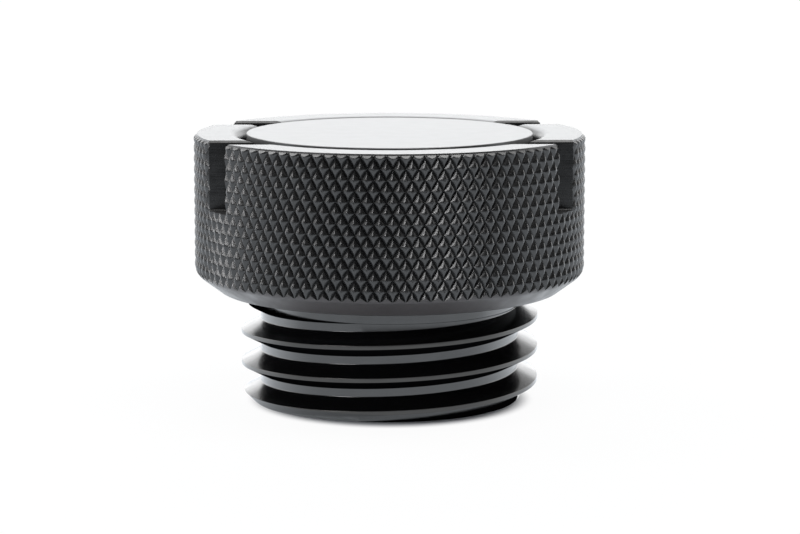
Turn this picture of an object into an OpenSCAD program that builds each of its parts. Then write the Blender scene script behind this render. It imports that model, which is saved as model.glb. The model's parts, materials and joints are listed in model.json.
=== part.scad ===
// Screw-in oil filler cap: a knurled head with four spanner slots, a flush
// centre disc and a coarse threaded plug, sealed under the head by a ring.
// It stands on the end of its plug: the origin is the centre of that end,
// +Z points up through the disc and the slots run along X.
// All sizes are in millimetres.

/* [Threaded plug] */
// Outer diameter of the thread
thread_d = 42; // [34:0.5:50]
// Rise of the thread in one turn
thread_pitch = 4.5; // [3:0.1:5]
// Length of the plug below the sealing face
plug_len = 15.7; // [12:0.1:24]
// Width of the plain relief between the thread and the head
relief_w = 2.2; // [1:0.05:4]
// How far the relief lies below the bottom of the thread's grooves
relief_inset = 0.1; // [0.05:0.05:0.5]
// Bevel that starts the thread at the plug's end
lead_bevel = 1.6; // [0.5:0.1:2.2]
// Angle about the axis at which the thread's helix starts
thread_start = -105; // [-180:1:180]

/* [Hollow of the plug] */
// Wall between the hollow and the bottom of the thread's grooves
plug_wall = 4.2; // [3:0.1:6]
// Floor left between the hollow and the hole for the spigot
web_t = 4.6; // [2:0.1:8]

/* [Seal] */
// Thickness of the sealing ring
seal_t = 3; // [2:0.1:4]
// How much narrower inside than the thread the ring is, so that it can't drop off
seal_grip = 2.5; // [1.5:0.1:4]
// Side room for the ring to squash into
seal_room = 0.25; // [0.1:0.05:0.5]
// How far the ring stands proud of the sealing face
seal_proud = 0.45; // [0.2:0.05:0.8]

/* [Head] */
// Height of the head, from its sealing face to its top
head_h = 22; // [18:0.5:30]
// Width of the sealing face outside the ring's groove
seat_rim = 1; // [0.6:0.1:4]
// Radius that rounds the sealing face's outer edge
seat_round = 0.5; // [0.1:0.05:0.6]
// Width of the smooth cone under the knurl, from the sealing face out to the knurl's points
band_w = 3.5; // [2:0.1:7]
// Height of the smooth cone under the knurl
band_h = 2.25; // [1:0.05:4]
// Bevel at the head's top edge, above the first knurl points
top_bevel = 0.15; // [0.05:0.05:0.5]

/* [Knurl] */
// Distance between neighbouring grooves, square to them
knurl_pitch = 1.5; // [1.2:0.1:2]
// Angle of the grooves to the cap's axis, in degrees
knurl_angle = 30; // [25:1:40]
// Height of the knurl's points above its grooves
knurl_depth = 0.5; // [0.2:0.05:0.7]

/* [Recess and slots] */
// Width of the head's rim, from the knurl's points in to the recess
rim_w = 6.4; // [4:0.1:8]
// Depth of the recess, and of the slots milled down to its floor
recess_depth = 9.6; // [6:0.1:12]
// Radius of the recess's rounded top edge
rim_round = 1.5; // [0.2:0.1:2]
// Width of each slot
slot_w = 4.5; // [3:0.1:6]
// Distance between the middles of the two lines of slots
slot_spacing = 25.9; // [20:0.1:30]
// Bevel along the slots' top edges
slot_bevel = 0.35; // [0.1:0.05:0.6]

/* [Centre disc] */
// Gap all round between the disc and the recess
disc_gap = 1; // [0.8:0.1:2.5]
// Bevel at the disc's top edge
disc_bevel = 0.25; // [0.1:0.05:0.6]
// Diameter of the spigot pressed into the head
spigot_d = 12; // [8:0.5:16]
// Length of the spigot under the disc
spigot_len = 4; // [2:0.5:5]
// Room left under the end of the spigot
spigot_end_gap = 0.5; // [0.2:0.1:1]

/* [Hidden] */

// A cut runs this far past the surface that it opens
past = 1;
// Solids that are joined reach this far into each other
lap = 0.4;
// A round core keeps this far inside the flat-sided form that it fills
inside = 0.03;
// Sides of a full circle
round_sides = 128;

// Heights on the cap's axis
seat_z = plug_len;
top_z = seat_z + head_h;
floor_z = top_z - recess_depth;
thread_top_z = seat_z - relief_w;
seal_top_z = seat_z - seal_proud + seal_t;

// The thread, with the flats and depth of a metric screw
depth_by_pitch = 0.61343;
thread_r = thread_d / 2;
root_r = thread_r - depth_by_pitch * thread_pitch;
crest_flat = thread_pitch / 8;
root_flat = thread_pitch / 4;
flank_h = (thread_pitch - crest_flat - root_flat) / 2;
thread_steps = 72;
turns_below = 1.25;
turns_above = 0.25;
thread_turns = ceil(thread_top_z / thread_pitch + turns_below + turns_above);
relief_r = root_r - relief_inset;

// From the thread outwards: the seal's groove, the sealing face and the head
groove_in = (thread_d - seal_grip) / 2;
groove_out = groove_in + seal_t + seal_room;
seat_r = groove_out + seat_rim;
head_r = seat_r + band_w;

// The knurl: whole grooves around, whole rows up
valley_r = head_r - knurl_depth;
knurl_count = round(2 * PI * head_r * cos(knurl_angle) / knurl_pitch);
knurl_bottom_z = seat_z + band_h;
knurl_top_z = top_z - top_bevel;
knurl_span = knurl_top_z - knurl_bottom_z;
free_row_h = PI * head_r / knurl_count / tan(knurl_angle);
knurl_rows = round(knurl_span / free_row_h);
row_h = knurl_span / knurl_rows;
knurl_inner_r = valley_r - 2 * lap;
core_r = valley_r * cos(180 / knurl_count) - inside;

// The recess in the head and the disc in it
recess_r = head_r - rim_w;
disc_r = recess_r - disc_gap;

// The hollow in the plug, below the hole for the spigot
hole_floor_z = floor_z - spigot_len - spigot_end_gap;
hollow_top_z = hole_floor_z - web_t;
hollow_r = root_r - plug_wall;

// Points of an arc about (cr, cz), from angle a0 to a1
function arc(cr, cz, r, a0, a1, n = 12) =
    [for (i = [0:n]) let (a = a0 + (a1 - a0) * i / n) [cr + r * cos(a), cz + r * sin(a)]];

// A point at radius r, angle a and height z
function polar(r, a, z) = [r * cos(a), r * sin(a), z];

// The knurl's end rows are cut by the bevels that meet its grooves there: how
// far along the ridge from its point the bevel of this slope cuts it
function ridge_cut(slope) = slope * knurl_depth / (row_h + slope * knurl_depth);
band_slope = band_h / (valley_r - seat_r);
band_angle = atan(band_slope);
bottom_cut = ridge_cut(band_slope);
top_cut = ridge_cut(1);

// Points and groove crossings take turns, both around and up, and the top
// row has a point at angle 0
function is_tip(j, k) = (j + knurl_rows - k) % 2 == 0;

// One point of the knurl's net, at half-step j around and row k up
function knurl_point(j, k) =
    let (a = j * 180 / knurl_count, z = knurl_bottom_z + k * row_h, tip = is_tip(j, k))
    !tip ? polar(valley_r, a, z)
    : k == 0 ? polar(head_r - knurl_depth * bottom_cut, a, z + row_h * bottom_cut)
    : k == knurl_rows ? polar(head_r - knurl_depth * top_cut, a, z - row_h * top_cut)
    : polar(head_r, a, z);

// The knurled band as one closed ring of flat faces
module knurl_ring() {
    n = 2 * knurl_count;
    net = [for (k = [0:knurl_rows], j = [0:n - 1]) knurl_point(j, k)];
    inner_low = len(net);
    inner_top = inner_low + n;
    bevel_top = inner_top + n;
    low_tip = knurl_rows % 2;
    pts = concat(net,
        [for (j = [0:n - 1]) polar(knurl_inner_r, j * 180 / knurl_count, knurl_bottom_z)],
        [for (j = [0:n - 1]) polar(knurl_inner_r, j * 180 / knurl_count, top_z)],
        [for (i = [0:knurl_count - 1]) polar(valley_r - top_bevel, (2 * i + 1) * 180 / knurl_count, top_z)]);
    function id(j, k) = k * n + j % n;
    function ring(base, j) = base + (j + n) % n;
    function bevel(i) = bevel_top + (i + knurl_count) % knurl_count;
    // Two faces for each cell of the net, split along the groove
    cells = [for (k = [0:knurl_rows - 1], j = [0:n - 1])
        for (f = is_tip(j, k)
            ? [[id(j, k), id(j, k + 1), id(j + 1, k)], [id(j + 1, k), id(j, k + 1), id(j + 1, k + 1)]]
            : [[id(j, k), id(j + 1, k + 1), id(j + 1, k)], [id(j, k), id(j, k + 1), id(j + 1, k + 1)]])
        f];
    // Below: the bevelled end of each point, and the flat face in to the ring's inside
    below = [for (i = [0:knurl_count - 1]) let (j = 2 * i + low_tip)
        for (f = [[id(j + n - 1, 0), id(j, 0), id(j + 1, 0)],
                  [id(j + n - 1, 0), id(j + 1, 0), ring(inner_low, j + 1), ring(inner_low, j),
                   ring(inner_low, j - 1)]])
        f];
    // Above: the same, with the bevel carried up to the top face
    above = [for (i = [0:knurl_count - 1]) let (j = 2 * i)
        for (f = [[id(j + n - 1, knurl_rows), id(j + 1, knurl_rows), id(j, knurl_rows)],
                  [id(j + n - 1, knurl_rows), bevel(i - 1), bevel(i), id(j + 1, knurl_rows)],
                  [bevel(i - 1), ring(inner_top, j - 1), ring(inner_top, j), ring(inner_top, j + 1),
                   bevel(i)]])
        f];
    inside_wall = [for (j = [0:n - 1])
        [ring(inner_low, j), ring(inner_low, j + 1), ring(inner_top, j + 1), ring(inner_top, j)]];
    polyhedron(pts, concat(cells, below, above, inside_wall), convexity = 6);
}

// Everything of the head and the relief that is turned, as one profile
module turned_core() {
    rotate_extrude($fn = round_sides)
        polygon(concat(
            [[0, lap], [relief_r, lap], [relief_r, seat_z],
             [groove_in, seat_z], [groove_in, seal_top_z],
             [groove_out, seal_top_z], [groove_out, seat_z]],
            arc(seat_r - seat_round * tan(band_angle / 2), seat_z + seat_round, seat_round,
                -90, -90 + band_angle),
            [[core_r, knurl_bottom_z],
             [core_r, top_z - lap], [knurl_inner_r + lap, top_z - lap], [knurl_inner_r + lap, top_z]],
            arc(recess_r + rim_round, top_z - rim_round, rim_round, 90, 180),
            [[recess_r, floor_z], [spigot_d / 2, floor_z],
             [spigot_d / 2, hole_floor_z], [0, hole_floor_z]]));
}

// The rod that the thread is cut on, longer than the plug at both ends: one
// turn's outline, swept up a helix
module threaded_rod() {
    m = thread_turns * thread_steps;
    outline = [[root_r, 0], [thread_r, flank_h], [thread_r, flank_h + crest_flat],
               [root_r, 2 * flank_h + crest_flat]];
    corners = len(outline);
    pts = concat(
        [for (i = [0:m], p = outline) let (turn = i / thread_steps - turns_below)
            polar(p[0], thread_start + turn * 360, p[1] + turn * thread_pitch)],
        [[0, 0, -turns_below * thread_pitch], [0, 0, thread_turns * thread_pitch]]);
    low = corners * (m + 1);
    high = low + 1;
    function id(i, p) = i * corners + p;
    flanks = [for (i = [0:m - 1], p = [0:2])
        for (f = [[id(i, p), id(i, p + 1), id(i + 1, p)], [id(i + 1, p), id(i, p + 1), id(i + 1, p + 1)]])
        f];
    roots = [for (i = [0:m - thread_steps - 1])
        let (a = id(i, 3), b = id(i + 1, 3), c = id(i + thread_steps, 0), d = id(i + thread_steps + 1, 0))
        for (f = [[a, c, b], [b, c, d]])
        f];
    low_end = concat(
        [for (i = [0:thread_steps - 1]) [low, id(i, 0), id(i + 1, 0)]],
        [[low, id(thread_steps, 0), id(0, 3), id(0, 2), id(0, 1), id(0, 0)]]);
    last = m - thread_steps;
    high_end = concat(
        [for (i = [last:m - 1]) [high, id(i + 1, 3), id(i, 3)]],
        [[high, id(last, 3), id(m, 0), id(m, 1), id(m, 2), id(m, 3)]]);
    polyhedron(pts, concat(flanks, roots, low_end, high_end), convexity = 12);
}

// The thread as it is left between the lead bevel and the relief
module thread() {
    intersection() {
        threaded_rod();
        rotate_extrude($fn = round_sides)
            polygon([[0, 0], [thread_r - lead_bevel, 0], [thread_r + past, lead_bevel + past],
                     [thread_r + past, thread_top_z], [0, thread_top_z]]);
    }
}

// One straight line of slots across the head, with bevelled top edges
module slot_line() {
    side = slot_w / 2;
    translate([-head_r - past, 0, floor_z])
        rotate([90, 0, 90])
            linear_extrude(2 * (head_r + past))
                polygon([[-side, 0], [side, 0], [side, recess_depth - slot_bevel],
                         [side + slot_bevel + past, recess_depth + past],
                         [-side - slot_bevel - past, recess_depth + past],
                         [-side, recess_depth - slot_bevel]]);
}

// The cap's body: knurled head, sealing face and threaded plug in one piece
module cap_body() {
    color([0.05, 0.05, 0.055])
        difference() {
            union() {
                turned_core();
                knurl_ring();
                thread();
            }
            for (side = [-1, 1])
                translate([0, side * slot_spacing / 2, 0])
                    slot_line();
            translate([0, 0, -past])
                cylinder(h = hollow_top_z + past, r = hollow_r, $fn = round_sides);
        }
}

// The plain disc in the middle of the head, pressed in by its spigot
module centre_disc() {
    color([0.07, 0.07, 0.075])
        rotate_extrude($fn = round_sides)
            polygon([[0, floor_z - spigot_len], [spigot_d / 2, floor_z - spigot_len],
                     [spigot_d / 2, floor_z], [disc_r, floor_z],
                     [disc_r, top_z - disc_bevel], [disc_r - disc_bevel, top_z], [0, top_z]]);
}

// The rubber ring in its groove under the head
module sealing_ring() {
    color([0.03, 0.03, 0.03])
        rotate_extrude($fn = round_sides)
            translate([groove_in + seal_t / 2, seal_top_z - seal_t / 2])
                circle(d = seal_t, $fn = 32);
}

cap_body();
centre_disc();
sealing_ring();
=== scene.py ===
import itertools
import json
import math
import random
import bpy
from mathutils import Matrix, Vector

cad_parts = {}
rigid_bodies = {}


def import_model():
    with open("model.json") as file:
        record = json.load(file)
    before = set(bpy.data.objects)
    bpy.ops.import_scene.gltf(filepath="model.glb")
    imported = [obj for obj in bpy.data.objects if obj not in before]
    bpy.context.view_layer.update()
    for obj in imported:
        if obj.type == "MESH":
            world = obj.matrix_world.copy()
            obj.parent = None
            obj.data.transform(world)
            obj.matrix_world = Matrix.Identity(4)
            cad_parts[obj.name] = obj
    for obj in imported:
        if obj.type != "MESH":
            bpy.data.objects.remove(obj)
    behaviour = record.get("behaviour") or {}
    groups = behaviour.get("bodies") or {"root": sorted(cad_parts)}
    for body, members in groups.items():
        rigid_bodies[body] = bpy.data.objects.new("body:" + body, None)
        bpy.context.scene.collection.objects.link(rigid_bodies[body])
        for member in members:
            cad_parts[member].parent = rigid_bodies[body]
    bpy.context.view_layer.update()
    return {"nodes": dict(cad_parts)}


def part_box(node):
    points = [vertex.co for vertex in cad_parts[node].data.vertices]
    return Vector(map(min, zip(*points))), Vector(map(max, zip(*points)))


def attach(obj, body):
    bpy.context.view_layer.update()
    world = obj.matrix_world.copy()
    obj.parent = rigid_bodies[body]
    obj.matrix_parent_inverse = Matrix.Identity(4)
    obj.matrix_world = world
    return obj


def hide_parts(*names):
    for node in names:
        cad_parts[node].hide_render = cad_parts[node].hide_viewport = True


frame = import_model()
mm = 0.001
print("frame loaded:", sorted(frame["nodes"]))


# Camera: a long lens in front of the cap, looking down on it by about nine degrees
photoCamera = {
    "place": (-8.36 * mm, -370 * mm, 77.49 * mm),
    "turn": -0.0266,       # radians round the vertical
    "tilt": 0.1581,        # radians down from level
    "roll": 0.0012,
    "lens": 118.98,        # millimetres, on a sensor 36 wide
    "sensor": 36.0,
}


def addCamera():
    data = bpy.data.cameras.new("photoCamera")
    data.lens = photoCamera["lens"]
    data.sensor_width = photoCamera["sensor"]
    data.sensor_fit = "HORIZONTAL"
    data.clip_start = 0.01
    data.clip_end = 50.0
    camera = bpy.data.objects.new("photoCamera", data)
    bpy.context.scene.collection.objects.link(camera)
    heading = Matrix.Rotation(photoCamera["turn"], 4, "Z")
    nod = Matrix.Rotation(math.pi / 2 - photoCamera["tilt"], 4, "X")
    lean = Matrix.Rotation(photoCamera["roll"], 4, "Z")
    camera.matrix_world = Matrix.Translation(photoCamera["place"]) @ heading @ nod @ lean
    bpy.context.scene.camera = camera


addCamera()
print("camera placed")


# Small helpers for meshes

def polar(radius, angle, height):
    return (radius * math.cos(angle), radius * math.sin(angle), height)


def arc(centreR, centreZ, radius, startDegrees, endDegrees, steps):
    angles = [math.radians(startDegrees + (endDegrees - startDegrees) * i / steps) for i in range(steps + 1)]
    return [(centreR + radius * math.cos(a), centreZ + radius * math.sin(a)) for a in angles]


def roundedCorners(outline, radii, steps=4):
    points = []
    for i, corner in enumerate(outline):
        radius = radii.get(i, 0)
        here = Vector(corner)
        if radius == 0:
            points.append(tuple(here))
            continue
        before = (Vector(outline[i - 1]) - here).normalized()
        after = (Vector(outline[(i + 1) % len(outline)]) - here).normalized()
        half = before.angle(after) / 2
        start = here + before * radius / math.tan(half)
        end = here + after * radius / math.tan(half)
        centre = here + (before + after).normalized() * radius / math.sin(half)
        for k in range(steps + 1):
            blend = (start.lerp(end, k / steps) - centre).normalized()
            points.append(tuple(centre + blend * radius))
    return points


def meshObject(name, points, faces):
    mesh = bpy.data.meshes.new(name)
    mesh.from_pydata(points, [], faces)
    item = bpy.data.objects.new(name, mesh)
    bpy.context.scene.collection.objects.link(item)
    return item


def latheSolid(name, outline, sides):
    # the outline runs from the axis at the bottom round to the axis at the top
    rim = outline[1:-1]
    count = len(rim)
    points = [(0, 0, outline[0][1] * mm), (0, 0, outline[-1][1] * mm)]
    for s in range(sides):
        angle = 2 * math.pi * s / sides
        points += [polar(r * mm, angle, z * mm) for r, z in rim]
    faces = []
    for s in range(sides):
        a = 2 + s * count
        b = 2 + (s + 1) % sides * count
        faces.append((0, b, a))
        faces += [(a + i, b + i, b + i + 1, a + i + 1) for i in range(count - 1)]
        faces.append((1, a + count - 1, b + count - 1))
    return meshObject(name, points, faces)


def combine(item, tool, operation):
    step = item.modifiers.new("combine", "BOOLEAN")
    step.operation = operation
    step.solver = "MANIFOLD"
    step.object = tool
    bpy.context.view_layer.objects.active = item
    bpy.ops.object.modifier_apply(modifier=step.name)
    bpy.data.objects.remove(tool)


def smoothFaces(item, sharpDegrees):
    mesh = item.data
    mesh.shade_smooth()
    mesh.set_sharp_from_angle(angle=math.radians(sharpDegrees))
    weigh = item.modifiers.new("weigh", "WEIGHTED_NORMAL")
    weigh.keep_sharp = True
    weigh.weight = 60
    bpy.context.view_layer.objects.active = item
    bpy.ops.object.modifier_apply(modifier=weigh.name)


# Materials: black anodised aluminium in ten finishes, one with painted light for the cone and two with
# painted shade for the thread flanks, and rubber

def newMaterial(name, color, ior):
    material = bpy.data.materials.new(name)
    material.use_nodes = True
    shader = material.node_tree.nodes["Principled BSDF"]
    shader.inputs["Base Color"].default_value = (*color, 1)
    shader.inputs["IOR"].default_value = ior
    return material, shader


def addNode(material, kind, **values):
    node = material.node_tree.nodes.new(kind)
    for key, value in values.items():
        if key in node.inputs:
            node.inputs[key].default_value = value
        else:
            setattr(node, key, value)
    return node


def link(material, source, target):
    material.node_tree.links.new(source, target)


def mapRange(material, source, sourceRange, resultRange, curve="SMOOTHSTEP"):
    node = addNode(material, "ShaderNodeMapRange", interpolation_type=curve)
    node.inputs["From Min"].default_value, node.inputs["From Max"].default_value = sourceRange
    node.inputs["To Min"].default_value, node.inputs["To Max"].default_value = resultRange
    link(material, source, node.inputs["Value"])
    return node.outputs["Result"]


def multiply(material, first, second):
    node = addNode(material, "ShaderNodeMath", operation="MULTIPLY")
    link(material, first, node.inputs[0])
    link(material, second, node.inputs[1])
    return node.outputs[0]


def grain(material, scale, detail, stretch=(1, 1, 1)):
    place = addNode(material, "ShaderNodeTexCoord")
    squash = addNode(material, "ShaderNodeMapping")
    squash.inputs["Scale"].default_value = stretch
    noise = addNode(material, "ShaderNodeTexNoise", Scale=scale, Detail=detail)
    link(material, place.outputs["Object"], squash.inputs["Vector"])
    link(material, squash.outputs["Vector"], noise.inputs["Vector"])
    return noise.outputs["Fac"]


def turningLines(material, linesPerMetre, byRadius):
    # fine grooves left by the lathe: they follow the radius on flat faces and the height on walls
    place = addNode(material, "ShaderNodeTexCoord")
    split = addNode(material, "ShaderNodeSeparateXYZ")
    link(material, place.outputs["Object"], split.inputs[0])
    along = split.outputs["Z"]
    if byRadius:
        flat = addNode(material, "ShaderNodeVectorMath", operation="MULTIPLY")
        flat.inputs[1].default_value = (1, 1, 0)
        link(material, place.outputs["Object"], flat.inputs[0])
        length = addNode(material, "ShaderNodeVectorMath", operation="LENGTH")
        link(material, flat.outputs[0], length.inputs[0])
        along = length.outputs["Value"]
    noise = addNode(material, "ShaderNodeTexNoise", noise_dimensions="1D", Scale=linesPerMetre, Detail=3.0)
    link(material, along, noise.inputs["W"])
    return noise.outputs["Fac"]


def addBump(material, shader, *layers):
    # each layer is a height and how deep it goes
    last = None
    for height, depth in layers:
        bump = addNode(material, "ShaderNodeBump", Strength=1.0, Distance=depth)
        link(material, height, bump.inputs["Height"])
        if last is not None:
            link(material, last.outputs["Normal"], bump.inputs["Normal"])
        last = bump
    link(material, last.outputs["Normal"], shader.inputs["Normal"])


def varyRoughness(material, shader, fac, span):
    rough = mapRange(material, fac, (0.3, 0.7), span, "LINEAR")
    link(material, rough, shader.inputs["Roughness"])


anodised = {
    "color": (0.004, 0.004, 0.0045),
    "ior": 1.8,
    "knurlRough": (0.2, 0.36),
    "knurlGrain": (9000, 0.017 * mm),  # grains in a metre, and how deep they are
    "knurlDust": (30000, 0.006 * mm),
    "turnedRough": 0.4,
    "turnedLines": (9000, 0.00015 * mm),
    "turnedDust": (2500, 0.0002 * mm),
    "turnedSpread": 0.2,      # share by which the roughness varies
    "facedSpread": 0.02,
    "milledRough": (0.2, 0.32),
    "milledLines": (4000, 0.008 * mm),
    "milledStretch": (0.03, 0.03, 1),
    "slotEdgeIor": 1.45,
    "threadRough": 0.2,
    "threadIor": 1.95,
    "crestTint": (1, 0.97, 0.93),
    "flankIor": 1.5,
    "flankShadedShine": 0.3,        # painted shade: the flanks' reflection is turned down so they look darker than the other surfaces, and the flanks facing down reflect nothing
    "underShadedShine": 0,
    # painted light: the cone's anodised colour is made lighter than the rest of the body's
    "conePaintedLight": (0.048, 0.044, 0.045),
    "coneIor": 1.5,
}


def knurlFinish():
    material, shader = newMaterial("anodisedKnurl", anodised["color"], anodised["ior"])
    coarseScale, coarseDepth = anodised["knurlGrain"]
    fineScale, fineDepth = anodised["knurlDust"]
    coarse = grain(material, coarseScale, 4.0)
    fine = grain(material, fineScale, 2.0)
    addBump(material, shader, (coarse, coarseDepth), (fine, fineDepth))
    varyRoughness(material, shader, grain(material, 4000, 3.0), anodised["knurlRough"])
    return material


def turnedFinish(name, byRadius=False, rough=anodised["turnedRough"], ior=anodised["ior"],
                 color=anodised["color"], shine=0.5, tint=(1, 1, 1)):
    material, shader = newMaterial(name, color, ior)
    shader.inputs["Specular IOR Level"].default_value = shine
    shader.inputs["Specular Tint"].default_value = (*tint, 1)
    lineScale, lineDepth = anodised["turnedLines"]
    dustScale, dustDepth = anodised["turnedDust"]
    lines = turningLines(material, lineScale, byRadius)
    dust = grain(material, dustScale, 5.0)
    addBump(material, shader, (lines, lineDepth), (dust, dustDepth))
    spread = anodised["facedSpread"] if byRadius else anodised["turnedSpread"]
    span = (rough * (1 - spread), rough * (1 + spread))
    varyRoughness(material, shader, grain(material, 400, 4.0), span)
    return material


def milledFinish(name, ior):
    material, shader = newMaterial(name, anodised["color"], ior)
    scale, depth = anodised["milledLines"]
    lines = grain(material, scale, 3.0, anodised["milledStretch"])
    addBump(material, shader, (lines, depth))
    varyRoughness(material, shader, grain(material, 900, 3.0), anodised["milledRough"])
    return material


# The cap's body: knurled head, sealing face, relief and threaded plug, turned from one bar
bodyLow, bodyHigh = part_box("cap_body")
discLow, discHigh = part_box("centre_disc")
ringLow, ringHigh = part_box("sealing_ring")
body = {
    "headR": bodyHigh.x / mm,
    "topZ": bodyHigh.z / mm,
    "discR": discHigh.x / mm,
    "spigotEndZ": discLow.z / mm,
    "plugLength": 15.7,
    "bandWidth": 3.5,
    "bandHeight": 2.25,
    "seatRound": 0.5,
    "reliefRound": 0.3,
    "grooveRound": 0.3,
    "grooveRoom": 0.25,       # between the ring and its groove's outer wall
    "grooveBreak": 0.1,
    "knurlFoot": 2.0,         # radius that rounds the knurl's lower end into the band
    "knurlFootEnd": -12,      # degrees
    "edgeIn": 0.48,           # the top face ends this far inside the knurl's points
    "edgeDrop": 0.22,         # a plain step down, then a bevel of this slope
    "edgeSlope": 0.7,
    "edgeBreak": (0.02, 0.03, 0.05),
    "knurlAround": 100,
    "knurlTurn": -0.36,       # degrees
    "knurlRows": 13,
    "knurlRise": 1.477,       # from one row of points to the next
    "knurlDepth": 0.5,
    "knurlCuts": (0, 0.14, 0.36, 0.64, 0.86, 1),  # where each half diamond is divided
    "knurlCrown": 1.4,        # 1 for flat faces, more for rounder points and steeper grooves
    "ridgeRound": 0.12,       # share of a half diamond that its ridges are rounded over
    "pitDepth": 0.07,         # deepest pit left in a point where the metal didn't close
    "rimWidth": 6.4,
    "rimRound": 1.5,
    "recessDepth": 9.6,
    "floorRound": 0.25,
    "holeBreak": 0.15,
    "slotWidth": 4.5,
    "slotSpacing": 25.9,
    "slotBevel": 0.35,
    "slotCorner": 0.2,
    "slotRound": 0.3,         # where the wall runs into the bevel
    "mouthIn": 0.1,           # the slots' upright edges are broken from this far above the grooves
    "mouthWide": 1.2,
    "mouthDeep": 1.5,
    "threadR": 21.0,
    "threadPitch": 4.5,
    "threadStart": -105,      # degrees
    "threadSteps": 240,       # in one turn
    "turnsBelow": 1.25,
    "threadTurns": 5,
    "crestEdge": 0.06,
    "rootEdge": 0.12,
    "reliefWidth": 2.2,
    "reliefInset": 0.1,
    "leadBevel": 1.6,
    "plugWall": 4.2,
    "web": 4.6,
    "hollowRound": 0.4,
    "spigotR": 6.0,
    "spigotGap": 0.5,
    "spread": 0.9,            # how far a form that is trimmed runs past its trim
    "sides": 256,
}
body["valleyR"] = body["headR"] - body["knurlDepth"]
body["seatR"] = body["headR"] - body["bandWidth"]
body["rootR"] = body["threadR"] - 0.61343 * body["threadPitch"]
body["reliefR"] = body["rootR"] - body["reliefInset"]
body["recessR"] = body["headR"] - body["rimWidth"]
body["floorZ"] = body["topZ"] - body["recessDepth"]
body["holeFloorZ"] = body["spigotEndZ"] - body["spigotGap"]
body["hollowTopZ"] = body["holeFloorZ"] - body["web"]
body["hollowR"] = body["rootR"] - body["plugWall"]
body["knurlLowZ"] = body["plugLength"] + body["bandHeight"]
body["threadTopZ"] = body["plugLength"] - body["reliefWidth"]
body["bandSlope"] = body["bandHeight"] / (body["valleyR"] - body["seatR"])
body["bandSlant"] = math.degrees(math.atan(body["bandSlope"]))
body["footR"] = body["headR"] - body["knurlFoot"]
body["footZ"] = (body["plugLength"] + body["bandSlope"] * (body["headR"] - body["seatR"])
                 + body["knurlFoot"] * math.tan(math.radians(90 - body["bandSlant"]) / 2))
body["grooveIn"] = ringHigh.x / mm - (ringHigh.z - ringLow.z) / mm
body["grooveOut"] = ringHigh.x / mm + body["grooveRoom"]
body["grooveTopZ"] = ringHigh.z / mm


def headBlank():
    b = body
    seat, top, floor = b["plugLength"], b["topZ"], b["floorZ"]
    wideR = b["headR"] + b["spread"]
    edgeR = b["headR"] - b["edgeIn"]
    edgeZ = top - b["edgeDrop"]
    slant = b["bandSlant"]
    seatEndR = b["seatR"] - b["seatRound"] * math.tan(math.radians(slant / 2))
    relief, groove, lip = b["reliefRound"], b["grooveRound"], b["grooveBreak"]
    inner, outer, grooveTop = b["grooveIn"], b["grooveOut"], b["grooveTopZ"]
    outline = [(0, b["hollowRound"]), (b["reliefR"], b["hollowRound"])]
    outline += arc(b["reliefR"] + relief, seat - relief, relief, 180, 90, 5)
    outline += [(inner - lip, seat), (inner, seat + lip)]
    outline += arc(inner + groove, grooveTop - groove, groove, 180, 90, 4)
    outline += arc(outer - groove, grooveTop - groove, groove, 90, 0, 4)
    outline += [(outer, seat + lip), (outer + lip, seat)]
    outline += arc(seatEndR, seat + b["seatRound"], b["seatRound"], -90, slant - 90, 6)
    outline += arc(b["footR"], b["footZ"], b["knurlFoot"], slant - 90, b["knurlFootEnd"], 8)
    outline += [(wideR, b["footZ"])]
    outline += [(wideR, edgeZ - b["edgeSlope"] * (wideR - edgeR)), (edgeR, edgeZ)]
    firstIn, down, lastIn = b["edgeBreak"]
    outline += [(edgeR - firstIn, top - down), (edgeR - lastIn, top)]
    outline += arc(b["recessR"] + b["rimRound"], top - b["rimRound"], b["rimRound"], 90, 180, 10)
    outline += arc(b["recessR"] - b["floorRound"], floor + b["floorRound"], b["floorRound"], 0, -90, 4)
    outline += [(b["spigotR"] + b["holeBreak"], floor), (b["spigotR"], floor - b["holeBreak"])]
    outline += [(b["spigotR"], b["holeFloorZ"]), (0, b["holeFloorZ"])]
    return latheSolid("headBlank", outline, b["sides"])


def knurlHeight(across, up):
    # 1 on a point, 0 along the grooves: the ridges are rounder near the points
    j, k = math.floor(across), math.floor(up)
    x, y = across - j, up - k
    if (j + body["knurlRows"] - k) % 2:
        x = 1 - x
    if x + y > 1:
        x, y = 1 - x, 1 - y
    soft = body["ridgeRound"] * (1 - x - y)
    fall = math.hypot(x, soft) + math.hypot(y, soft) - 2 * soft
    return 1 - max(fall, 0) ** body["knurlCrown"]


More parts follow.
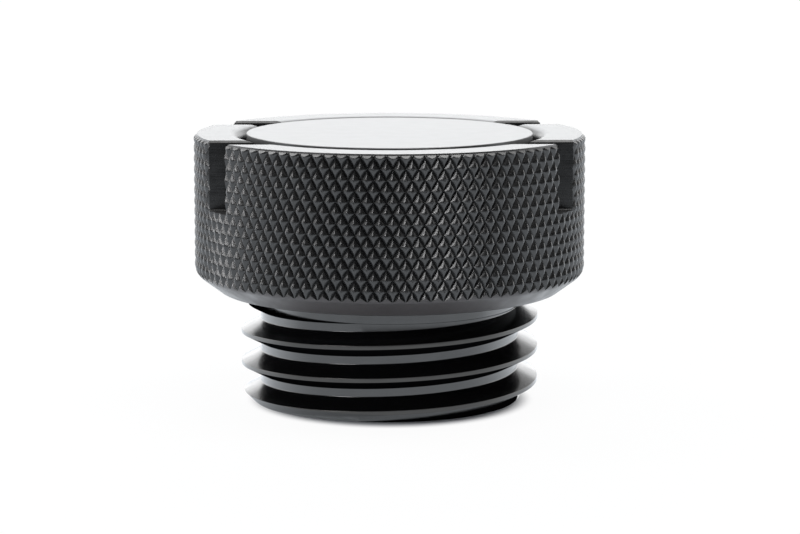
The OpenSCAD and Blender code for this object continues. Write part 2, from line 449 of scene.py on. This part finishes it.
def knurledRod():
    b = body
    cuts = b["knurlCuts"]
    columns = [j + f for j in range(2 * b["knurlAround"]) for f in cuts[:-1]]
    rows = [k + f for k in range(-1, b["knurlRows"] + 1) for f in cuts[:-1]] + [b["knurlRows"] + 1]
    step = math.pi / b["knurlAround"]
    turn = math.radians(b["knurlTurn"])
    wide = len(columns)
    pits = random.Random(11)
    points = []
    for up in rows:
        z = b["knurlLowZ"] + up * b["knurlRise"]
        for across in columns:
            height = knurlHeight(across, up)
            radius = b["valleyR"] + b["knurlDepth"] * height
            if height > 0.9999:
                radius -= b["pitDepth"] * pits.random()
            points.append(polar(radius * mm, across * step + turn, z * mm))
    points += [(x, y, -b["spread"] * mm) for x, y, z in points[:wide]]
    below = len(points) - wide
    centreLow, centreTop = len(points), len(points) + 1
    points += [(0, 0, -b["spread"] * mm), (0, 0, points[below - 1][2])]
    faces = []
    for r in range(len(rows) - 1):
        for c in range(wide):
            d = (c + 1) % wide
            low, lowNext, top, topNext = r * wide + c, r * wide + d, (r + 1) * wide + c, (r + 1) * wide + d
            leaning = (math.floor(columns[c]) + b["knurlRows"] - math.floor(rows[r])) % 2 == 0
            if leaning:
                faces += [(low, lowNext, top), (lowNext, topNext, top)]
            else:
                faces += [(low, lowNext, topNext), (low, topNext, top)]
    last = (len(rows) - 1) * wide
    for c in range(wide):
        d = (c + 1) % wide
        faces.append((below + c, below + d, d, c))
        faces.append((centreLow, below + d, below + c))
        faces.append((centreTop, last + c, last + d))
    return meshObject("knurledRod", points, faces)


def threadOutline():
    b = body
    pitch = b["threadPitch"]
    flank = (pitch - pitch / 8 - pitch / 4) / 2
    corners = [(b["rootR"], 0), (b["threadR"], flank), (b["threadR"], flank + pitch / 8),
               (b["rootR"], pitch * 3 / 4), (b["rootR"], pitch)]
    rounds = {1: b["crestEdge"], 2: b["crestEdge"], 3: b["rootEdge"]}
    outline = roundedCorners(corners, rounds)[:-1]
    return outline


def threadedRod():
    b = body
    outline = threadOutline()
    corners = len(outline)
    steps = b["threadSteps"]
    total = b["threadTurns"] * steps
    start = math.radians(b["threadStart"])
    points = []
    for i in range(total + 1):
        turn = i / steps - b["turnsBelow"]
        angle = start + turn * 2 * math.pi
        points += [polar(r * mm, angle, (z + turn * b["threadPitch"]) * mm) for r, z in outline]
    low, high = len(points), len(points) + 1
    points.append((0, 0, -b["turnsBelow"] * b["threadPitch"] * mm))
    points.append((0, 0, b["threadTurns"] * b["threadPitch"] * mm))
    faces = []
    for i in range(total):
        a, n = i * corners, (i + 1) * corners
        faces += [(a + p, n + p, n + p + 1, a + p + 1) for p in range(corners - 1)]
    for i in range(total - steps):
        a, c = i * corners + corners - 1, (i + steps) * corners
        faces.append((a, a + corners, c + corners, c))
    for i in range(steps):
        faces.append((low, (i + 1) * corners, i * corners))
        top = total - steps + i
        faces.append((high, top * corners + corners - 1, (top + 1) * corners + corners - 1))
    faces.append([low] + list(range(corners)) + [steps * corners])
    end = (total - steps) * corners + corners - 1
    faces.append([high] + [total * corners + p for p in range(corners - 1, -1, -1)] + [end])
    return meshObject("threadedRod", points, faces)


def threadedPlug():
    b = body
    leadR = b["threadR"] - b["leadBevel"]
    wide = b["threadR"] + b["spread"]
    outline = [(0, 0), (leadR - 0.1, 0), (leadR + 0.05, 0.05), (wide, wide - leadR),
               (wide, b["threadTopZ"]), (0, b["threadTopZ"])]
    plug = threadedRod()
    combine(plug, latheSolid("plugTrim", outline, b["sides"]), "INTERSECT")
    return plug


def slotCutter(side):
    b = body
    half = b["slotWidth"] / 2
    out = b["spread"]
    edge = b["topZ"] - b["slotBevel"]
    corners = [(-half, b["floorZ"]), (half, b["floorZ"]), (half, edge),
               (half + b["slotBevel"] + out, b["topZ"] + out),
               (-half - b["slotBevel"] - out, b["topZ"] + out), (-half, edge)]
    rounds = {0: b["slotCorner"], 1: b["slotCorner"], 2: b["slotRound"], 5: b["slotRound"]}
    outline = roundedCorners(corners, rounds)
    reach = (b["headR"] + out) * mm
    count = len(outline)
    shift = side * b["slotSpacing"] / 2
    points = [(x, (y + shift) * mm, z * mm) for x in (-reach, reach) for y, z in outline]
    faces = [tuple(range(count - 1, -1, -1)), tuple(range(count, 2 * count))]
    faces += [(i, (i + 1) % count, count + (i + 1) % count, count + i) for i in range(count)]
    return meshObject("slotCutter", points, faces)


def mouthCutter():
    # breaks the upright edges where the slots come out through the knurl
    b = body
    radius = b["valleyR"] + b["mouthIn"]
    levels = (b["floorZ"], b["topZ"] + b["spread"])
    points = []
    faces = []
    for side, end, wall in itertools.product((-1, 1), repeat=3):
        y = side * b["slotSpacing"] / 2 + wall * b["slotWidth"] / 2
        edge = Vector((end * math.sqrt(radius ** 2 - y ** 2), y))
        out = (edge.normalized() + Vector((0, -wall))).normalized()
        along = Vector((-out.y, out.x)) * b["mouthWide"]
        deep = out * b["mouthDeep"]
        corners = [edge - along, edge + along, edge + along + deep, edge - along + deep]
        if (corners[1] - corners[0]).cross(corners[2] - corners[1]) < 0:
            corners.reverse()
        first = len(points)
        points += [(c.x * mm, c.y * mm, z * mm) for z in levels for c in corners]
        faces.append([first + i for i in (3, 2, 1, 0)])
        faces.append([first + i for i in (4, 5, 6, 7)])
        faces += [[first + i, first + (i + 1) % 4, first + 4 + (i + 1) % 4, first + 4 + i] for i in range(4)]
    return meshObject("mouthCutter", points, faces)


def hollowCutter():
    b = body
    inset = b["hollowRound"]
    mouth = b["hollowR"] + inset
    outline = [(0, -b["spread"]), (mouth + b["spread"], -b["spread"]), (mouth, 0), (b["hollowR"], inset)]
    outline += arc(b["hollowR"] - inset, b["hollowTopZ"] - inset, inset, 0, 90, 4)
    outline += [(0, b["hollowTopZ"])]
    return latheSolid("hollowCutter", outline, b["sides"] // 2)


def finishOfFace(centre, normal):
    # goes by where the face lies on the cap, then by which way it faces
    b = body
    near, close = 0.05, 0.02
    radius = math.hypot(centre.x, centre.y) / mm
    z = centre.z / mm
    topEdge = z > b["topZ"] - 0.8 and (normal.z > 0.6 or radius < b["headR"] - b["edgeIn"] + close / 2)
    fromFoot = math.hypot(radius - b["footR"], z - b["footZ"])
    foot = z < b["footZ"] and fromFoot > b["knurlFoot"] - 0.03
    if z > b["knurlLowZ"] - near and radius > b["valleyR"] - close and not topEdge and not foot:
        return "knurl"
    fromSlot = abs(abs(centre.y / mm) - b["slotSpacing"] / 2)
    alongSlot = abs(normal.x) < 0.02 and abs(normal.y) > 0.3
    if z > b["floorZ"] - close / 2 and alongSlot and fromSlot < b["slotWidth"]:
        return "slotEdge" if normal.z > 0.3 else "slotWall"
    if z < b["plugLength"] - close and radius > b["reliefR"] - near:
        return threadFinish(radius, z, normal.z)
    if z > b["plugLength"] + near and radius > b["seatR"] - 0.5 and normal.z < -0.3:
        return "cone"
    return "faced" if abs(normal.z) > 0.75 else "turned"


def threadFinish(radius, z, upward):
    b = body
    if upward < -0.6 and z < b["leadBevel"] + 0.4:
        return "thread"
    if abs(upward) > 0.8:
        return "flank" if 0 < upward < 0.95 else "underFlank"
    if z < b["leadBevel"] and radius < b["threadR"] - b["leadBevel"] - 0.3:
        return "underFlank"
    return "crest" if radius > b["threadR"] - 0.1 else "thread"


def capBody():
    item = headBlank()
    combine(item, knurledRod(), "INTERSECT")
    combine(item, threadedPlug(), "UNION")
    for side in (-1, 1):
        combine(item, slotCutter(side), "DIFFERENCE")
    combine(item, mouthCutter(), "DIFFERENCE")
    combine(item, hollowCutter(), "DIFFERENCE")
    item.name = "capBody"
    item.data.name = "capBody"
    item.data.materials.clear()
    a = anodised
    finishes = {
        "knurl": knurlFinish(),
        "faced": turnedFinish("anodisedFaced", byRadius=True),
        "turned": turnedFinish("anodisedTurned"),
        # painted light: the cone gets a lighter copy of the anodised finish
        "cone": turnedFinish("anodisedConePaintedLight", ior=a["coneIor"], color=a["conePaintedLight"]),
        "slotWall": milledFinish("anodisedSlotWall", a["ior"]),
        "slotEdge": milledFinish("anodisedSlotEdge", a["slotEdgeIor"]),
        "thread": turnedFinish("anodisedThread", rough=a["threadRough"], ior=a["threadIor"]),
        "crest": turnedFinish("anodisedCrest", rough=a["threadRough"], tint=a["crestTint"]),
        # painted shade: shaded copies of the thread's finish for the flanks, the downward ones darkest
        "flank": turnedFinish("anodisedFlankShaded", rough=a["threadRough"], ior=a["flankIor"],
                              shine=a["flankShadedShine"]),
        "underFlank": turnedFinish("anodisedUnderFlankShaded", rough=a["threadRough"], ior=a["flankIor"],
                                   shine=a["underShadedShine"]),
    }
    for material in finishes.values():
        item.data.materials.append(material)
    order = list(finishes)
    for face in item.data.polygons:
        face.material_index = order.index(finishOfFace(face.center, face.normal))
    smoothFaces(item, 32)
    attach(item, "root")
    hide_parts("cap_body")
    print("cap body:", len(item.data.polygons), "faces")


capBody()


# The plain disc in the middle, pressed in by its spigot
disc = {
    "bevel": 0.08,
    "edge": 0.02,     # rounding on both sides of the bevel
    "footBreak": 0.15,
    "spigotLead": 0.3,
    "sides": 256,
}


def centreDisc():
    b = body
    radius, top, floor = b["discR"], b["topZ"], b["floorZ"]
    low, spigotR, lead, foot = b["spigotEndZ"], b["spigotR"], disc["spigotLead"], disc["footBreak"]
    corners = [(0, low), (spigotR - lead, low), (spigotR, low + lead), (spigotR, floor),
               (radius - foot, floor), (radius, floor + foot), (radius, top - disc["bevel"]),
               (radius - disc["bevel"], top), (0, top)]
    outline = roundedCorners(corners, {6: disc["edge"], 7: disc["edge"]})
    item = latheSolid("centreDisc", outline, disc["sides"])
    item.data.materials.append(turnedFinish("anodisedDisc", byRadius=True))
    smoothFaces(item, 32)
    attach(item, "root")
    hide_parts("centre_disc")
    print("centre disc:", len(item.data.polygons), "faces")


centreDisc()


# The rubber ring in its groove under the head, with the fine flash line of its mould
ring = {
    "sides": 192,
    "round": 36,
    "flash": 0.03,
    "color": (0.012, 0.012, 0.012),
    "ior": 1.5,
    "rough": (0.45, 0.65),
    "grain": (5000, 0.004 * mm),
}


def rubberFinish():
    material, shader = newMaterial("ringRubber", ring["color"], ring["ior"])
    scale, depth = ring["grain"]
    addBump(material, shader, (grain(material, scale, 4.0), depth))
    varyRoughness(material, shader, grain(material, 1500, 3.0), ring["rough"])
    return material


def sealingRing():
    thick = (ringHigh.z - ringLow.z) / 2
    middleR = ringHigh.x - thick
    middleZ = ringLow.z + thick
    points = []
    for s in range(ring["sides"]):
        around = 2 * math.pi * s / ring["sides"]
        for t in range(ring["round"]):
            turn = 2 * math.pi * t / ring["round"]
            proud = 0 if t % (ring["round"] // 2) else ring["flash"] * mm
            radius = thick - ring["flash"] * mm + proud
            points.append(polar(middleR + radius * math.cos(turn), around, middleZ + thick * math.sin(turn)))
    faces = []
    count = ring["round"]
    for s in range(ring["sides"]):
        a, b = s * count, (s + 1) % ring["sides"] * count
        for t in range(count):
            n = (t + 1) % count
            faces.append((a + t, b + t, b + n, a + n))
    item = meshObject("sealingRing", points, faces)
    item.data.materials.append(rubberFinish())
    item.data.shade_smooth()
    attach(item, "root")
    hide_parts("sealing_ring")
    print("sealing ring:", len(item.data.polygons), "faces")


sealingRing()


# White ground, which reflections see with painted shade and painted light, and white surroundings
studio = {
    "groundSize": 6.0,
    "groundPaint": (0.86, 0.88, 0.92),
    "groundGlow": (0, 0.96),  # share of plain white in what the camera sees, at the plug and away from it
    "glowReach": (0.0171, 0.0205),
    "shadeMiddle": (0, -0.002, 0),
    "paintedFrontShade": (-0.26, -0.08),  # painted shade: reflections see the ground fade this far in front of the cap
    "paintedGroundLight": (-0.03, 0.02),  # and painted light makes them brighter from this y to that one
    "paintedGroundLightMost": 1.7,
    "paintedPlugShadow": (0.0172, 0.023),   # and a painted shadow makes it dark close round the plug
    "shadeLeft": 0.25,
    "reflectedTint": (0.9, 0.95, 1.0),
    "roomFades": (0.05, -0.35),  # reflections see the room darken towards the front
    "roomRises": (0.85, 0.55),   # below this height
    "roomDark": 0.08,
    "worldLight": 0.2,
}


def addGround():
    half = studio["groundSize"] / 2
    corners = [(-half, -half, 0), (half, -half, 0), (half, half, 0), (-half, half, 0)]
    ground = meshObject("ground", corners, [(0, 1, 2, 3)])
    material = bpy.data.materials.new("groundWhite")
    material.use_nodes = True
    material.node_tree.nodes.clear()
    path = addNode(material, "ShaderNodeLightPath")
    toCamera = path.outputs["Is Camera Ray"]
    place = addNode(material, "ShaderNodeTexCoord").outputs["Object"]
    split = addNode(material, "ShaderNodeSeparateXYZ")
    link(material, place, split.inputs[0])
    away = addNode(material, "ShaderNodeVectorMath", operation="DISTANCE")
    away.inputs[1].default_value = studio["shadeMiddle"]
    link(material, place, away.inputs[0])
    distance = away.outputs["Value"]

    # how bright reflections see the ground: painted shade in front and round the plug, painted light behind
    fade = mapRange(material, split.outputs["Y"], studio["paintedFrontShade"], (studio["roomDark"], 1))
    shade = mapRange(material, distance, studio["paintedPlugShadow"], (studio["shadeLeft"], 1))
    bright = mapRange(material, split.outputs["Y"], studio["paintedGroundLight"], (1, studio["paintedGroundLightMost"]))
    strength = addNode(material, "ShaderNodeMix", data_type="FLOAT")
    strength.inputs[3].default_value = 1
    link(material, toCamera, strength.inputs[0])
    link(material, multiply(material, multiply(material, fade, shade), bright), strength.inputs[2])
    tint = addNode(material, "ShaderNodeMix", data_type="RGBA")
    tint.inputs[6].default_value = (*studio["reflectedTint"], 1)
    tint.inputs[7].default_value = (1, 1, 1, 1)
    link(material, toCamera, tint.inputs[0])
    glow = addNode(material, "ShaderNodeEmission")
    link(material, tint.outputs[2], glow.inputs["Color"])
    link(material, strength.outputs[0], glow.inputs["Strength"])

    # the camera sees white too, but for the shadow at the plug's foot
    white = mapRange(material, distance, studio["glowReach"], studio["groundGlow"])
    seen = addNode(material, "ShaderNodeMath", operation="MAXIMUM")
    link(material, multiply(material, toCamera, white), seen.inputs[0])
    link(material, path.outputs["Is Glossy Ray"], seen.inputs[1])
    paint = addNode(material, "ShaderNodeBsdfDiffuse")
    paint.inputs["Color"].default_value = (*studio["groundPaint"], 1)
    blend = addNode(material, "ShaderNodeMixShader")
    output = addNode(material, "ShaderNodeOutputMaterial")
    link(material, seen.outputs[0], blend.inputs["Fac"])
    link(material, paint.outputs[0], blend.inputs[1])
    link(material, glow.outputs[0], blend.inputs[2])
    link(material, blend.outputs[0], output.inputs["Surface"])
    ground.data.materials.append(material)


def addWorld():
    # the camera sees plain white, and reflections a white room that is darker on the camera's side
    world = bpy.data.worlds.new("whiteRoom")
    bpy.context.scene.world = world
    world.use_nodes = True
    world.node_tree.nodes.clear()
    path = addNode(world, "ShaderNodeLightPath")
    light = addNode(world, "ShaderNodeBackground", Strength=studio["worldLight"])
    white = addNode(world, "ShaderNodeBackground")
    for shade in (light, white):
        shade.inputs["Color"].default_value = (1, 1, 1, 1)
    place = addNode(world, "ShaderNodeTexCoord")
    split = addNode(world, "ShaderNodeSeparateXYZ")
    link(world, place.outputs["Generated"], split.inputs[0])
    front = mapRange(world, split.outputs["Y"], studio["roomFades"], (0, 1))
    low = mapRange(world, split.outputs["Z"], studio["roomRises"], (0, 1))
    room = mapRange(world, multiply(world, front, low), (0, 1), (1, studio["roomDark"]), "LINEAR")
    strength = addNode(world, "ShaderNodeMath", operation="MAXIMUM")
    link(world, room, strength.inputs[0])
    link(world, path.outputs["Is Camera Ray"], strength.inputs[1])
    link(world, strength.outputs[0], white.inputs["Strength"])
    seen = addNode(world, "ShaderNodeMath", operation="MAXIMUM")
    link(world, path.outputs["Is Camera Ray"], seen.inputs[0])
    link(world, path.outputs["Is Glossy Ray"], seen.inputs[1])
    blend = addNode(world, "ShaderNodeMixShader")
    output = addNode(world, "ShaderNodeOutputWorld")
    link(world, seen.outputs[0], blend.inputs["Fac"])
    link(world, light.outputs[0], blend.inputs[1])
    link(world, white.outputs[0], blend.inputs[2])
    link(world, blend.outputs[0], output.inputs["Surface"])


# Soft lamps: place and aim in metres, size in metres, and brightness of their faces
softLamps = [
    {"name": "backLowLamp", "place": (0, 1.0, 0.16), "aim": (0, 0, 0.03),
     "size": (2.2, 0.32), "glow": 1.8, "color": (0.98, 0.99, 1)},
    {"name": "backHighLamp", "place": (0, 0.9, 0.6), "aim": (0, 0, 0.03),
     "size": (0.7, 0.5), "glow": 4.0, "color": (0.96, 0.98, 1)},
    {"name": "topLamp", "place": (0.2, 0.02, 0.9), "aim": (0.05, 0, 0.02),
     "size": (0.36, 0.6), "glow": 7.0, "color": (1, 1, 0.99)},
    {"name": "topLeftLamp", "place": (-0.5, 0.35, 0.9), "aim": (0, 0, 0.02),
     "size": (0.45, 0.5), "glow": 5.0, "color": (1, 1, 1)},
    {"name": "leftLamp", "place": (-0.59, -0.57, 0.4), "aim": (0, 0, 0.027),
     "size": (0.3, 0.3), "glow": 8.0, "color": (0.99, 0.99, 1)},
    {"name": "leftSideLamp", "place": (-0.9, 0.4, 0.22), "aim": (0, 0, 0.02),
     "size": (0.6, 0.35), "glow": 1.8, "color": (1, 1, 1)},
    {"name": "rightSideLamp", "place": (0.9, 0.4, 0.22), "aim": (0, 0, 0.02),
     "size": (0.6, 0.35), "glow": 1.8, "color": (1, 1, 1)},
]


def addLamps():
    for lamp in softLamps:
        data = bpy.data.lights.new(lamp["name"], "AREA")
        data.shape = "RECTANGLE"
        data.size, data.size_y = lamp["size"]
        data.energy = lamp["glow"] * math.pi * data.size * data.size_y
        data.color = lamp["color"]
        item = bpy.data.objects.new(lamp["name"], data)
        bpy.context.scene.collection.objects.link(item)
        item.location = lamp["place"]
        look = Vector(lamp["aim"]) - Vector(lamp["place"])
        item.rotation_euler = look.to_track_quat("-Z", "Y").to_euler()
        item.visible_camera = False


addGround()
addWorld()
addLamps()
print("studio lit")

bpy.context.scene.view_settings.view_transform = "Standard"
